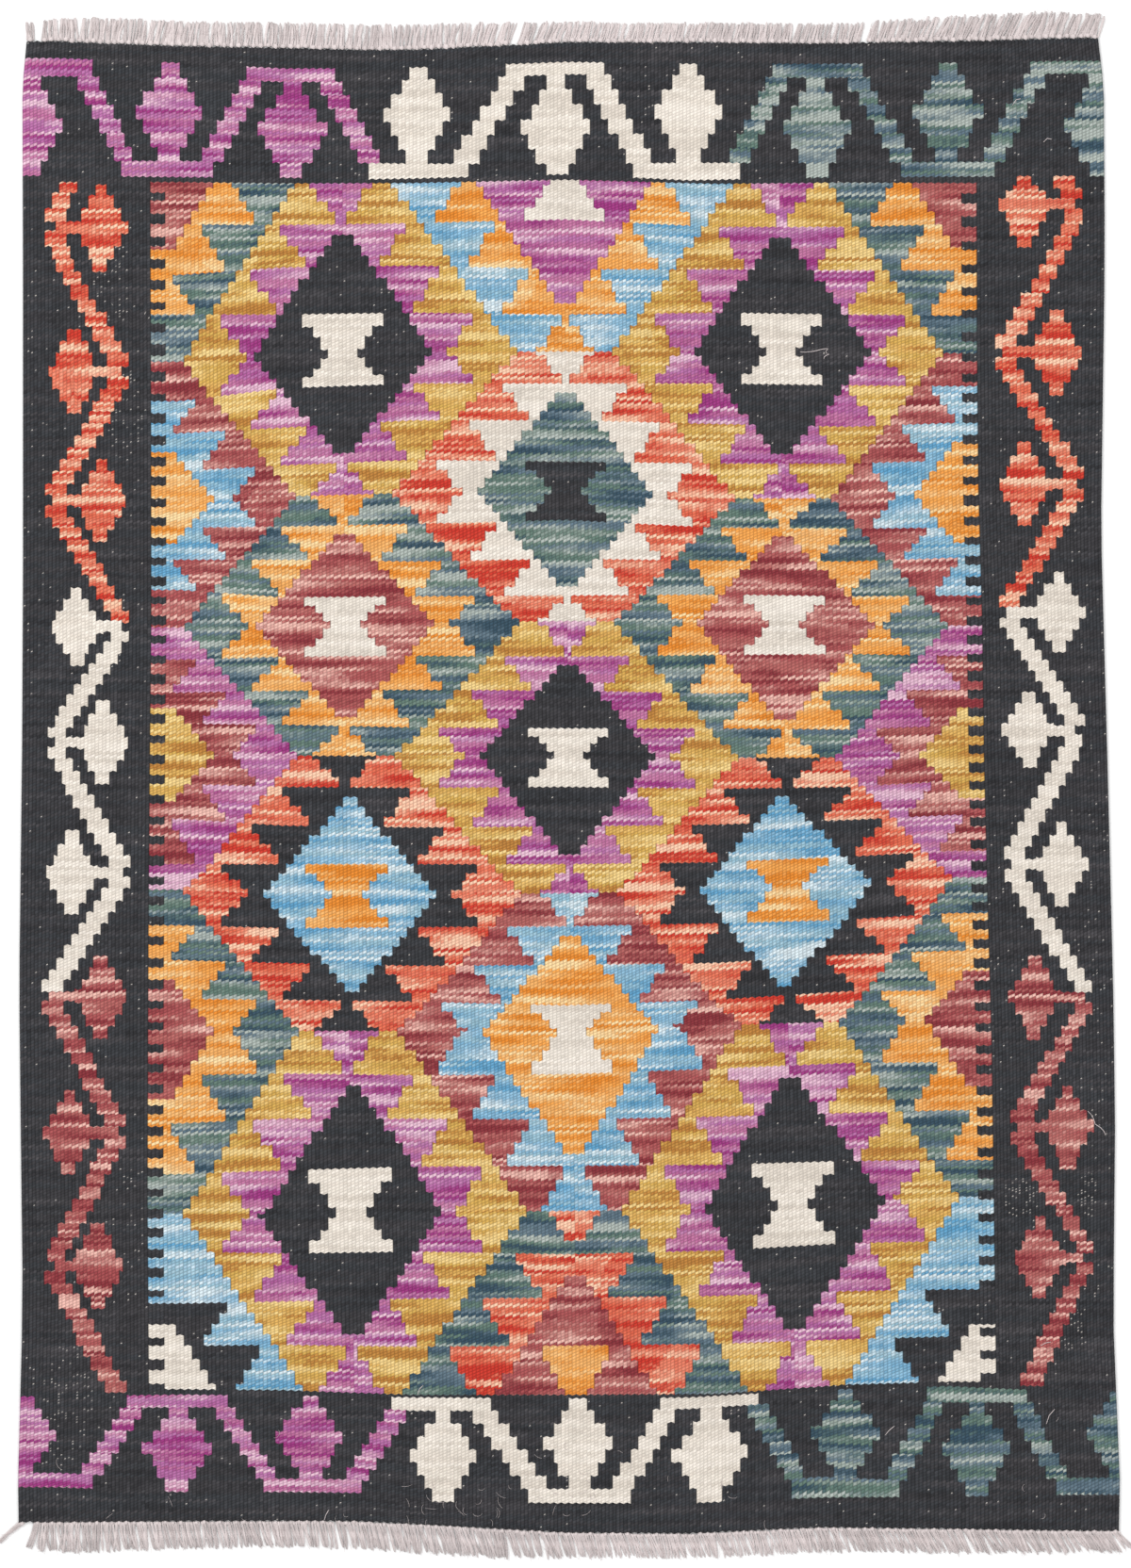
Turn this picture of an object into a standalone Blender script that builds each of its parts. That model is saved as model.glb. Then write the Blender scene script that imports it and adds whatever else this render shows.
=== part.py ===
"""A kilim rug lying flat: one slit-woven cloth, with the cut and knotted ends of its warps as a fringe at each end.

Metres, +Z up. The origin is the centre of the base, +Y runs along the warps, and the upper end is at +Y.
"""

import math

import bmesh
import bpy
from mathutils import Vector

MM = 0.001

# The cloth's plain rectangle. The tables below say how its edges wander from it.
CLOTH_WIDTH = 990 * MM
CLOTH_LENGTH = 1350 * MM
CLOTH_THICKNESS = 3 * MM
RIM_ROUND = 0.9 * MM
RIM_SEGMENTS = 2
POINTS_ACROSS = 98  # outline points on each end of the cloth, close enough for the strip to follow it
POINTS_ALONG = 46  # outline points on each selvedge

# Rows: share along the edge, from the left or from the lower end, and how far the edge bulges outwards in mm.
UPPER_EDGE = (
    (0.00, 6.1),
    (0.06, 1.8),
    (0.15, -2.5),
    (0.35, -5.1),
    (0.45, -0.8),
    (0.50, 2.7),
    (0.76, 2.7),
    (0.89, 4.4),
    (1.00, 8.3),
)
LOWER_EDGE = (
    (0.00, -0.8),
    (0.03, -4.6),
    (0.31, -5.1),
    (0.43, 1.8),
    (0.50, 7.0),
    (0.61, 6.6),
    (0.73, 2.7),
    (0.90, 2.7),
    (1.00, 7.0),
)
LEFT_EDGE = (
    (0.00, 3.8),
    (0.04, 4.6),
    (0.15, 0.3),
    (0.34, 3.4),
    (0.52, 0.8),
    (0.62, -0.5),
    (0.84, -0.5),
    (0.97, 0.3),
    (1.00, -4.0),
)
RIGHT_EDGE = (
    (0.00, 9.8),
    (0.03, 10.7),
    (0.14, 4.6),
    (0.27, 6.4),
    (0.36, 4.6),
    (0.51, -0.5),
    (0.67, -6.5),
    (0.85, -3.1),
    (0.97, -4.0),
    (1.00, -9.1),
)

# The fringe: each strand is the knotted end of two warps. The strip holds the strands' roots.
STRANDS = 147  # at each end
ROOT_GAP = 0.3 * MM  # between the cloth's edge and the strip
STRIP_DEPTH = 3.4 * MM
STRIP_HEIGHT = 2.4 * MM
STRIP_MARGIN = 1.2 * MM  # left free at each corner of the cloth
STRAND_SHARE = 0.52  # of the strands' pitch that a strand's root takes up
# Rows: share of a strand's length, share of its root's width, share of the strip's height.
STRAND_TAPER = (
    (0.45, 0.86, 0.80),
    (1.00, 0.50, 0.52),
)
STRAY_LEAN = 2.0  # degrees by which one strand leans more or less than the next ones
STRAY_LENGTH = 0.07  # share of its length by which a strand is longer or shorter

# Rows: share across the cloth, how far a strand reaches from the cloth's edge in mm, and its lean towards +X
# in degrees.
UPPER_FRINGE = (
    (0.00, 18.0, -6),
    (0.02, 20.0, 2),
    (0.06, 22.8, 3),
    (0.12, 23.4, 11),
    (0.18, 22.4, 4),
    (0.30, 23.6, 6),
    (0.37, 22.6, 7),
    (0.44, 22.2, 19),
    (0.50, 19.4, 20),
    (0.60, 18.0, 13),
    (0.77, 18.8, 15),
    (0.85, 24.0, 27),
    (0.91, 26.4, 25),
    (1.00, 22.7, 18),
)
LOWER_FRINGE = (
    (0.000, 28.0, -50),
    (0.008, 26.0, -38),
    (0.018, 25.0, -12),
    (0.035, 28.0, 1),
    (0.08, 28.0, 3),
    (0.14, 25.4, 12),
    (0.24, 24.6, 16),
    (0.31, 26.2, 12),
    (0.42, 28.0, 20),
    (0.50, 23.6, 18),
    (0.73, 23.6, 20),
    (0.85, 24.6, 29),
    (0.95, 23.4, 32),
    (1.00, 22.0, 37),
)

# Colours are linear red, green, blue.
WOOL_GROUND = (0.035, 0.037, 0.042)
WARP_ENDS = (0.60, 0.54, 0.52)
WOOL_ROUGHNESS = 0.9


def read_table(table, share, column=1):
    """A column's value at a share of the edge, smoothly between the table's rows."""
    for low, high in zip(table, table[1:]):
        if share <= high[0]:
            break
    step = min(1.0, max(0.0, (share - low[0]) / (high[0] - low[0])))
    step = step * step * (3 - 2 * step)
    return low[column] + (high[column] - low[column]) * step


def edge_point(edge, share):
    """A point of the cloth's outline at z = 0. edge is upper, lower, left or right."""
    left = -CLOTH_WIDTH / 2 - read_table(LEFT_EDGE, row_share(edge, share)) * MM
    right = CLOTH_WIDTH / 2 + read_table(RIGHT_EDGE, row_share(edge, share)) * MM
    lower = -CLOTH_LENGTH / 2 - read_table(LOWER_EDGE, column_share(edge, share)) * MM
    upper = CLOTH_LENGTH / 2 + read_table(UPPER_EDGE, column_share(edge, share)) * MM
    across = left + (right - left) * column_share(edge, share)
    along = lower + (upper - lower) * row_share(edge, share)
    return Vector((across, along, 0.0))


def row_share(edge, share):
    """How far up the cloth a point of an edge lies, from 0 to 1."""
    return {"lower": 0.0, "upper": 1.0}.get(edge, share)


def column_share(edge, share):
    """How far across the cloth a point of an edge lies, from 0 to 1."""
    return {"left": 0.0, "right": 1.0}.get(edge, share)


def outline():
    """The cloth's outline, counterclockwise from its lower left corner."""
    points = [edge_point("lower", i / POINTS_ACROSS) for i in range(POINTS_ACROSS)]
    points += [edge_point("right", i / POINTS_ALONG) for i in range(POINTS_ALONG)]
    points += [edge_point("upper", 1 - i / POINTS_ACROSS) for i in range(POINTS_ACROSS)]
    points += [edge_point("left", 1 - i / POINTS_ALONG) for i in range(POINTS_ALONG)]
    return points


def clear_scene():
    for item in list(bpy.data.objects):
        bpy.data.objects.remove(item)


def wool(name, colour):
    """A matt wool material."""
    material = bpy.data.materials.new(name)
    material.use_nodes = True
    shader = material.node_tree.nodes["Principled BSDF"]
    shader.inputs["Base Color"].default_value = (*colour, 1.0)
    shader.inputs["Roughness"].default_value = WOOL_ROUGHNESS
    shader.inputs["Metallic"].default_value = 0.0
    return material


def finish_object(name, shape, material):
    """Turns a finished bmesh into a named object of the scene."""
    bmesh.ops.recalc_face_normals(shape, faces=shape.faces)
    mesh = bpy.data.meshes.new(name)
    shape.to_mesh(mesh)
    shape.free()
    mesh.materials.append(material)
    piece = bpy.data.objects.new(name, mesh)
    bpy.context.scene.collection.objects.link(piece)
    return piece


def raise_face(shape, face, height):
    """Extrudes a face straight up, and returns the new top's edges."""
    grown = bmesh.ops.extrude_face_region(shape, geom=[face])["geom"]
    top = [item for item in grown if isinstance(item, bmesh.types.BMVert)]
    bmesh.ops.translate(shape, verts=top, vec=(0.0, 0.0, height))
    return [edge for edge in shape.edges if all(vert in top for vert in edge.verts)]


def make_cloth():
    """The woven cloth: its uneven outline raised to its thickness, with a softly rounded upper rim."""
    shape = bmesh.new()
    base = shape.faces.new([shape.verts.new(point) for point in outline()])
    rim = raise_face(shape, base, CLOTH_THICKNESS)
    bmesh.ops.bevel(
        shape, geom=rim, offset=RIM_ROUND, segments=RIM_SEGMENTS, profile=0.5, affect="EDGES"
    )
    return finish_object("cloth", shape, wool("wool_ground", WOOL_GROUND))


def strip_share(column):
    """Share across the cloth of one of the strip's columns: two for each strand, its left and its right side."""
    margin = STRIP_MARGIN / CLOTH_WIDTH
    strand, side = divmod(column, 2)
    pitch = (1 - 2 * margin) / (STRANDS - 1 + STRAND_SHARE)
    return margin + (strand + side * STRAND_SHARE) * pitch


def make_strip(shape, edge, outward):
    """The narrow strip beside one end of the cloth, made from a grid of one row with two columns a strand."""
    columns = 2 * STRANDS
    grid = bmesh.ops.create_grid(shape, x_segments=columns - 1, y_segments=1, size=1.0)["verts"]
    bottom = list(shape.faces)
    for vert in grid:
        column = round((vert.co.x + 1) / 2 * (columns - 1))
        reach = ROOT_GAP + (STRIP_DEPTH if vert.co.y > 0 else 0.0)
        vert.co = edge_point(edge, strip_share(column)) + Vector((0, outward * reach, 0))
    grown = bmesh.ops.extrude_face_region(shape, geom=bottom)["geom"]
    top = [item for item in grown if isinstance(item, bmesh.types.BMVert)]
    bmesh.ops.translate(shape, verts=top, vec=(0.0, 0.0, STRIP_HEIGHT))


def strand_roots(shape, edge, outward):
    """The strip's outer faces that carry a strand, from left to right."""
    roots = []
    for strand in range(STRANDS):
        left = edge_point(edge, strip_share(2 * strand)).x
        right = edge_point(edge, strip_share(2 * strand + 1)).x
        roots.append((left + right) / 2)
    step = (roots[-1] - roots[0]) / (STRANDS - 1)
    found = {}
    shape.normal_update()
    for face in shape.faces:
        if face.normal.y * outward < 0.5:
            continue
        strand = round((face.calc_center_median().x - roots[0]) / step)
        if abs(face.calc_center_median().x - roots[strand]) < step / 4:
            found[strand] = face
    return [found[strand] for strand in range(STRANDS)]


def grow_strand(shape, face, direction, length):
    """Draws a strand out of a root face. Its underside stays level on the floor, and it tapers to its tip."""
    root = face.calc_center_median()
    root.z = 0.0
    across = Vector((-direction.y, direction.x, 0.0))
    half = max((vert.co - root).dot(across) for vert in face.verts)
    for share, width, height in STRAND_TAPER:
        face = bmesh.ops.extrude_discrete_faces(shape, faces=[face])["faces"][0]
        centre = face.calc_center_median()
        for vert in face.verts:
            side = 1 if (vert.co - centre).dot(across) > 0 else -1
            rise = STRIP_HEIGHT * height if vert.co.z > centre.z else 0.0
            place = root + direction * length * share + across * side * half * width
            vert.co = Vector((place.x, place.y, rise))


def make_fringe(name, edge, outward, table, material):
    """The fringe at one end: the strip and its strands in one closed solid."""
    shape = bmesh.new()
    make_strip(shape, edge, outward)
    bmesh.ops.recalc_face_normals(shape, faces=shape.faces)
    for strand, face in enumerate(strand_roots(shape, edge, outward)):
        share = strand / (STRANDS - 1)
        stray = math.sin(strand * 2.4) * math.cos(strand * 0.7)
        lean = math.radians(read_table(table, share, 2) + STRAY_LEAN * stray)
        reach = read_table(table, share) * MM * (1 + STRAY_LENGTH * math.sin(strand * 1.9))
        length = reach - ROOT_GAP - STRIP_DEPTH
        direction = Vector((math.sin(lean), outward * math.cos(lean), 0.0))
        grow_strand(shape, face, direction, length)
    return finish_object(name, shape, material)


def centre_on_origin(pieces):
    """Moves the pieces so that the middle of the whole rug lies on the origin."""
    bpy.context.view_layer.update()
    corners = [Vector(corner) for piece in pieces for corner in piece.bound_box]
    middle_x = (min(c.x for c in corners) + max(c.x for c in corners)) / 2
    middle_y = (min(c.y for c in corners) + max(c.y for c in corners)) / 2
    for piece in pieces:
        piece.location = (-middle_x, -middle_y, 0.0)


def main():
    clear_scene()
    warp_ends = wool("warp_ends", WARP_ENDS)
    cloth = make_cloth()
    upper = make_fringe("fringe_top", "upper", 1, UPPER_FRINGE, warp_ends)
    lower = make_fringe("fringe_bottom", "lower", -1, LOWER_FRINGE, warp_ends)
    centre_on_origin([cloth, upper, lower])


main()
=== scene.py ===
import collections
import functools
import math
import random

import bmesh
import bpy
import numpy as np
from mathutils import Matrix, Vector


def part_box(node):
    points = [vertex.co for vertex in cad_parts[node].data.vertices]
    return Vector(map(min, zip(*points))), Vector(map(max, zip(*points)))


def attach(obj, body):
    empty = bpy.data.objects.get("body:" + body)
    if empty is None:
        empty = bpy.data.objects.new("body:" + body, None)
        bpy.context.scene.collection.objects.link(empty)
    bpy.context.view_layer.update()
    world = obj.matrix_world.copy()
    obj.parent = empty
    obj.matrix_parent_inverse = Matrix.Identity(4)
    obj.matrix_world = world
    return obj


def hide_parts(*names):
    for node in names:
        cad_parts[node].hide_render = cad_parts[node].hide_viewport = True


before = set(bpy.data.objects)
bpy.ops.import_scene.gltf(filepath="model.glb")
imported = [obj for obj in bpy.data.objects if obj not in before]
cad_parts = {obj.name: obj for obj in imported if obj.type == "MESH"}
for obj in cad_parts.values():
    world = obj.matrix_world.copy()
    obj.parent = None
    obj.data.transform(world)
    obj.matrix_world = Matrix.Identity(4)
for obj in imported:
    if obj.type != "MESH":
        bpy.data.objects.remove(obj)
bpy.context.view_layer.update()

bl_info = {
    "name": "Kilim rug",
    "version": (1, 0, 0),
    "blender": (4, 5, 0),
    "location": "3D View > Sidebar > Kilim",
    "description": "Weaves a slit kilim from a chart, knots its fringes and lays it on a pale floor",
    "category": "Object",
}

# ---- The chart ----
# A weaver counts along a row in warps and up the cloth in rows. Lengths on the loom are counts: about four to a warp,
# 0.86 mm each, x to the right and y down the cloth from its upper left.
COUNT = 0.00086  # metres
MIDDLE = (600.0, 833.0)  # counts at the middle of the rug
VIEW_MIDDLE, VIEW_HIGH = (600, 832), 1664  # the middle of the picture and its height, in counts

CHARCOAL, IVORY, MAGENTA, MUSTARD, ORANGE, SKY, SLATE, MAROON, CORAL = range(9)

FIRST_WARP, WARP_COUNT = -27, 294  # from selvedge to selvedge
FIELD_LEFT, FIELD_RIGHT = 8, 232  # the warps where the field begins and ends
FIELD_END = 128  # the row where it ends; it begins at row 0
# Warps with a known x: left selvedge, comb, three columns of diamonds, comb, right selvedge.
WARPS = (FIRST_WARP, FIELD_LEFT, 60, 120, 180, FIELD_RIGHT, FIRST_WARP + WARP_COUNT)
# Where the five inner ones lie, in counts: y, then the x of each.
WARP_LINES = np.array((
    (200, 159.5, 363.5, 599.5, 827, 1036.0), (370, 160, 363.5, 600, 828, 1036.5),
    (520, 160.5, 365, 601, 829.5, 1038), (660, 160.5, 366.5, 602, 831, 1042), (803, 159, 367.5, 603.5, 833, 1044),
    (950, 157.8, 368.5, 604.5, 834.5, 1047.5), (1105, 157, 370.5, 606.8, 836.5, 1052),
    (1280, 156.5, 373, 609.8, 840.5, 1054.5), (1400, 157.5, 375, 610.8, 842.5, 1056),
    (1475, 158, 376, 611.3, 843.5, 1057)))
# The selvedges wander as the weaver pulls in or lets out: y, x.
LEFT_SELVEDGE = (
    (41, 28.6), (92, 23.9), (280, 24.5), (612, 24.5), (796, 23.5), (1046, 20.5), (1192, 22), (1380, 24.3),
    (1571, 19.3), (1622, 20))
RIGHT_SELVEDGE = (
    (41, 1165), (92, 1171), (272, 1172), (562, 1168), (812, 1175), (1050, 1181), (1190, 1183),
    (1400, 1181), (1570, 1188), (1622, 1187))

# Where chosen rows lie, in counts. The weft is beaten down harder in some places, so that the rows wave. Of the
# field it is every fourth row, with its y at each x of FIELD_X.
FIELD_X = (190, 300, 440, 600, 760, 900, 1010)
FIELD_ROWS = tuple((4 * number, *heights) for number, heights in enumerate((
    (193.5, 195, 194.5, 191, 195.5, 194, 194.5), (238, 239, 237, 233, 241, 241, 238),
    (292, 284, 282, 286, 286, 287, 287), (334, 334, 332, 334, 332, 334, 335), (384, 378, 374, 373, 374, 374, 375),
    (426, 412, 407, 407, 407, 409, 410), (460, 454, 446, 446, 450, 453, 449), (500, 494, 488, 490, 492, 492, 489),
    (531, 527, 523, 520, 529, 529, 523), (560, 559, 556, 552, 560, 561, 560), (594, 594, 596, 593, 595, 596, 592),
    (626, 634, 633, 632, 631, 633, 632), (666, 664, 661, 659, 661, 664, 664), (700, 697, 696, 697, 695, 694, 696),
    (735, 733, 732, 733, 736, 733, 732), (768, 769, 772, 773, 773, 774, 770), (801, 802, 802, 801, 804, 804, 800),
    (832, 835, 836, 835, 837, 835, 829), (869, 876, 878, 877, 875, 870, 865), (917, 917, 917, 917, 915, 909, 903),
    (944, 949, 949, 948, 944, 937, 931), (982, 985, 984, 983, 980, 976, 969),
    (1019, 1022, 1025, 1024, 1022, 1013, 1009), (1060, 1061, 1063, 1067, 1061, 1052, 1051),
    (1093, 1094, 1094, 1095, 1088, 1084, 1080), (1141, 1139, 1141, 1140, 1134, 1128, 1127),
    (1192, 1187, 1187, 1188, 1185, 1181, 1178), (1246, 1242, 1238, 1237, 1236, 1232, 1231),
    (1288, 1288, 1286, 1285, 1283, 1275, 1270), (1328, 1330, 1328, 1331, 1327, 1319, 1317),
    (1383, 1381, 1378, 1377, 1375, 1370, 1368), (1428, 1427, 1429, 1428, 1426, 1421, 1418),
    (1474, 1475, 1480, 1480, 1479, 1469, 1466))))
# Of the end borders: the row, then its y at each x of END_X.
END_X = (60, 190, 300, 380, 440, 600, 730, 870, 1005, 1140)
UPPER_ROWS = (
    (-14.5, 44, 49, 51, 53, 53, 45, 45, 46, 44, 40.5), (-12.5, 62, 67, 73, 73, 72, 66, 68, 68, 67, 65),
    (-11, 81, 83, 87, 87, 85, 79, 80, 83, 80, 78), (-2, 171, 171, 173, 173, 174, 174, 173, 173, 172, 172),
    (-0.5, 186.5, 188, 188.5, 190.5, 189.5, 185, 191.5, 188.5, 187.5, 187))
LOWER_ROWS = (
    (128.5, 1482, 1480, 1481, 1482, 1483, 1484, 1483, 1475, 1471, 1477),
    (130, 1495, 1493, 1494, 1494, 1497, 1497, 1495, 1486, 1488, 1488),
    (139, 1563, 1569, 1569, 1570, 1579, 1580, 1580, 1567, 1573, 1568),
    (140.5, 1578, 1583, 1583, 1584, 1593, 1595, 1595, 1589, 1588, 1586),
    (143, 1615, 1614, 1613.5, 1614, 1617, 1626, 1627, 1620.5, 1622, 1624))
ROWS = [r[0] for r in UPPER_ROWS + FIELD_ROWS + LOWER_ROWS]
FIRST_ROW, LAST_ROW = ROWS[0], ROWS[-1]
STEPS_A_ROW = 4  # the pattern changes at quarter rows
SCALLOP = 0.8  # counts that level edges of the pattern rise and fall
SEARCH_Y = 800.0  # where the search for a point of the chart sets out, in counts

# The stepped diamonds of the field: warp and row of the middle, then the yarns of the core, of the hourglass in
# it, of the inner ring and of the outer ring.
DIAMONDS = [(120, 0, MAGENTA, IVORY, ORANGE, SKY), (120, 32, SLATE, CHARCOAL, IVORY, CORAL),
            (120, 64, CHARCOAL, IVORY, MAGENTA, MUSTARD), (120, 96, ORANGE, IVORY, SKY, MAROON),
            (120, 128, MAROON, ORANGE, CORAL, SLATE)]
for _warp in (60, 180):
    DIAMONDS += [(_warp, 16, CHARCOAL, IVORY, MAGENTA, MUSTARD), (_warp, 48, MAROON, IVORY, ORANGE, SLATE),
                 (_warp, 80, SKY, ORANGE, CHARCOAL, CORAL), (_warp, 112, CHARCOAL, IVORY, MAGENTA, MUSTARD)]
for _warp in (0, 240):
    DIAMONDS += [(_warp, 0, MAROON, None, ORANGE, SLATE), (_warp, 32, ORANGE, None, SKY, MAROON),
                 (_warp, 64, MUSTARD, None, MAROON, MAGENTA), (_warp, 96, MAROON, None, ORANGE, SLATE),
                 (_warp, 128, IVORY, None, CHARCOAL, SKY)]
# Where the weaver strayed from the count: a diamond's middle, its half (-1 above, 1 below, 0 both), its side (-1 left,
# 1 right, 0 both), and how many warps wider the ring, the hole in it, the heart and the hourglass are there.
STRAYS = ((60, 80, 0, -1, 0, 0, -2, 0), (180, 80, 0, 1, 0, 0, -2, 0), (60, 112, -1, -1, 0, 0, -2, 0),
          (180, 112, 1, 1, 3.5, 1.2, 0, 0), (120, 96, 1, 0, 0, 1.5, 0, 0), (120, 128, -1, 0, 0, -0.7, -2.6, -1.3))
HOURGLASS = np.array([3.9, 6.2, 8.4, 10.7])  # half its width in warps at the steps out from the middle
WIDE_FEET = (112, 0.5)  # the row of the hourglasses with wider feet, and by how much

HALF_WARPS, HALF_ROWS = 60, 16  # half the width and the height of a whole diamond
TIP_ROWS, TIP_STEP, EVEN_FROM = 0.6, 1.1334, 4  # rows of a diamond's first step, of the next three, and of all four
TOOTH = 4  # steps in each tooth of a ring
BLOCKS = 64  # numbers kept for the blocks of one diamond
# Half widths in warps at the middle row and how much they lose at each step away from it: of the outer ring, of its
# yarn at the root of a tooth, and of the heart.
AT_COMB = (47.4, 2.045, 17.2, 4.15, 25.4, 2.0)
LOWER_RIGHT = (47.4, 2.045, 19.2, 4.15, 23.4, 2.0)  # the last half diamond at a comb
FACING_COMB = (43.3, 2.045, 16.6, 4.1, 24.3, 2.13)  # the sides of whole diamonds that face a comb
WHOLE = (47.0, 2.267, 18.8, 4.5, 24.3, 2.13)
# The last step that has a hole or a heart. At the lower end of the field some are cut short, by their middle warp.
LAST_HOLE, LAST_HOLE_BELOW = 11, 7
LAST_HEART, LAST_COMB_HEART, LAST_HEART_BELOW = 10, 5, {0: 5, 120: 9, 240: 4}

# The combs down both sides of the field: number of a notch and its y in counts.
LEFT_COMB = (
    (0, 209.5), (7, 371.5), (8, 400), (14, 533.5), (23, 720.5), (36, 999), (42, 1134), (46, 1224), (50, 1308),
    (53, 1372.5), (54, 1396), (55, 1424), (57, 1473))
RIGHT_COMB = (
    (0, 211.5), (6, 357), (12, 488.5), (20, 659.5), (31, 872.5), (34, 942.5), (38, 1022.5), (43, 1136.5),
    (47, 1222.5), (52, 1338), (54, 1388), (55, 1414.5), (57, 1462.5))
NOTCHES, NOTCH_WARPS, NOTCH_HALF = 58, 4, 4.8  # how many, how deep in warps, half their height in counts

# The meander of the end borders, bar by bar: its first and last x and the x of its bud, in counts. Bars lie by turns
# high, with a bud hanging from them, and low, with a bud standing on them. The upper border starts high.
END_YARNS = (MAGENTA, IVORY, SLATE)  # three bars and buds in each
UPPER_BARS = (
    (20, 96, 32), (129, 227, 179.5), (261, 356, 310), (390, 498, 443), (538, 640, 590), (673, 787, 730),
    (818, 915, 866), (955, 1055, 1005.5), (1093, 1180, 1166))
LOWER_BARS = (
    (15, 100, 25), (136, 243, 188.5), (280, 382, 329), (415.7, 520, 470), (561.7, 668, 614),
    (702, 806.7, 754), (840.7, 953, 897.3), (985, 1090, 1036.7), (1118, 1195, 1189))
STAIRS, STAIR_ROWS = 6, 1.5  # steps between two bars, and the rows of one
# The stairs between bars: width and how far the lowest step lies over the low bar, in counts. Most are alike, but the
# ivory ones are wider, apart from the rising one of the lower border.
STAIR = {(IVORY, True): (26.5, 17), (IVORY, False): (23.5, 17)}
COMMON_STAIR = (23, 13)
END_BUD = (9.5, 18, 27, 36.5, 28, 20.5, 12)  # half widths of a bud's seven steps, in counts
WIDE_BUDS = {754: 1.1}  # the x of a bud that is wider than the rest, and by how much

# The zigzag of the side borders, bend by bend: y, the band's left and right x there, the bud's x and half its
# height, in counts.
SIDE_YARNS = (CORAL, IVORY, MAROON)  # three bends in each
LEFT_BENDS = (
    (241, 49.5, 69, 107, 46), (394.5, 114.5, 138.5, 78.5, 45), (531, 49.5, 70, 107, 44),
    (665, 117.5, 138.5, 81.5, 41), (788, 49.2, 70.5, 109.3, 44), (926, 115.8, 139, 76.2, 44),
    (1057.5, 45.5, 68, 107, 44), (1202, 110.5, 133.5, 73, 44.5), (1343, 48.5, 70, 103.5, 44.5), (1484, 110, 135, 0, 0))
RIGHT_BENDS = (
    (217, 1129, 1149, 1087, 46), (374, 1056, 1080, 1120.5, 45), (514, 1129, 1149, 1087, 44),
    (650, 1061, 1083, 1123, 43), (775, 1129.3, 1150, 1091, 40), (917, 1065.5, 1087, 1126.7, 44),
    (1058, 1139, 1158, 1098, 44.5), (1196, 1073, 1096, 1133, 44.5), (1334.5, 1141, 1158.3, 1103.2, 42.5),
    (1475, 1081, 1106, 0, 0))
BAND_STEPS, FIRST_EASE = 10, 1.2  # steps from bend to bend, and how slowly the first run sets out
BEND_HALF, STALK_HALF = 5, 5.5  # half the height of a bend and of a bud's stalk, in counts
STALK_IN = 8  # how far from the band's outer edge a stalk starts
SIDE_BUD = (6.6, 14, 21, 28, 21.5, 14.5, 7.5)  # half widths of a bud's seven steps
BUD_MIDDLE = 6.5  # half the height of its widest step

# Above the first bend the zigzag starts in short steps: left, right, top, bottom.
LEFT_START = ((47.5, 69, 222, 236), (54.5, 76, 205, 222), (61, 83, 192, 205))
RIGHT_START = ((1127, 1148, 201, 212), (1118, 1139.5, 188, 201))

# Where the charcoal weft has worn so that the pale warps show: x, y, half width, half height in counts, share.
WORN = ((1082, 1270, 19, 22, 0.4), (1154, 1268, 11, 24, 0.4), (1138, 1412, 16, 22, 0.3), (72, 1492, 28, 66, 0.13),
        (132, 440, 20, 50, 0.20), (118, 300, 20, 60, 0.14), (140, 1290, 12, 60, 0.10), (34, 420, 16, 330, 0.02),
        (1168, 900, 14, 500, 0.04))
# Where the dyed wefts are paler, or deeper below 0, in the same columns.
FADED = ((862, 135, 60, 55, 0.22), (1140, 90, 55, 62, 0.22), (1008, 100, 45, 45, 0.12), (244, 268, 32, 24, 0.18),
         (300, 537, 40, 26, 0.18), (211, 650, 40, 40, 0.16), (528, 300, 40, 30, 0.18), (740, 715, 40, 30, 0.12),
         (732, 350, 40, 25, -0.2), (650, 390, 30, 25, -0.16), (675, 1390, 42, 70, -0.16))

# Loose threads lying on the cloth: points in counts.
LOOSE = (
    ((849, 373.6), (857, 374), (865, 372.5), (873, 370.5), (878.5, 370)),
    ((878.5, 370), (875, 374.5), (880, 376), (874.5, 378), (874, 381)), ((1074, 112), (1078, 106), (1083, 105)),
    ((1107, 151), (1111, 147), (1116, 148)), ((1154, 1179), (1159, 1184), (1162, 1193), (1170, 1198), (1173, 1205)),
    ((344, 1613), (346, 1607), (349, 1602)), ((443, 1480), (445, 1474), (449, 1470)),
    ((939, 1523), (943, 1518), (949, 1513)), ((1110, 1511), (1113, 1502), (1119, 1495)),
    ((1104, 1428), (1109, 1425), (1115, 1424)))

HAIRS = 60  # fine hairs shed on the cloth
HAIRY = ((420, 640, 1568, 1612), (60, 1150, 1500, 1615))  # where they lie: x and y in counts

# The fringes as they lie: share of the way along the end, reach of the strands in mm and lean in degrees.
UPPER_FRINGE = (
    (0, 18, -6), (0.02, 20, 2), (0.06, 22.8, 3), (0.12, 23.4, 11), (0.18, 22.4, 4), (0.3, 23.6, 6),
    (0.37, 22.6, 7), (0.44, 22.2, 19), (0.5, 19.4, 20), (0.6, 18, 13), (0.77, 18.8, 15), (0.85, 24, 27),
    (0.91, 26.4, 25), (1, 22.7, 18))
LOWER_FRINGE = (
    (0, 28, -50), (0.012, 25, -16), (0.018, 26, -2), (0.035, 28, 1), (0.08, 28, 3), (0.14, 25.4, 12),
    (0.24, 24.6, 16), (0.31, 26.2, 12), (0.42, 28, 20), (0.5, 23.6, 18), (0.73, 23.6, 20), (0.85, 24.6, 29),
    (0.95, 23.4, 32), (1, 22, 37))

# Where a knot has come undone and left a gap: x in counts.
UPPER_LOST = (40, 545, 912)
LOWER_LOST = (30,)
# Where the strands are paler and thinner: from x to x.
UPPER_PALE = (577, 745)
LOWER_PALE = (620, 850)
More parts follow.
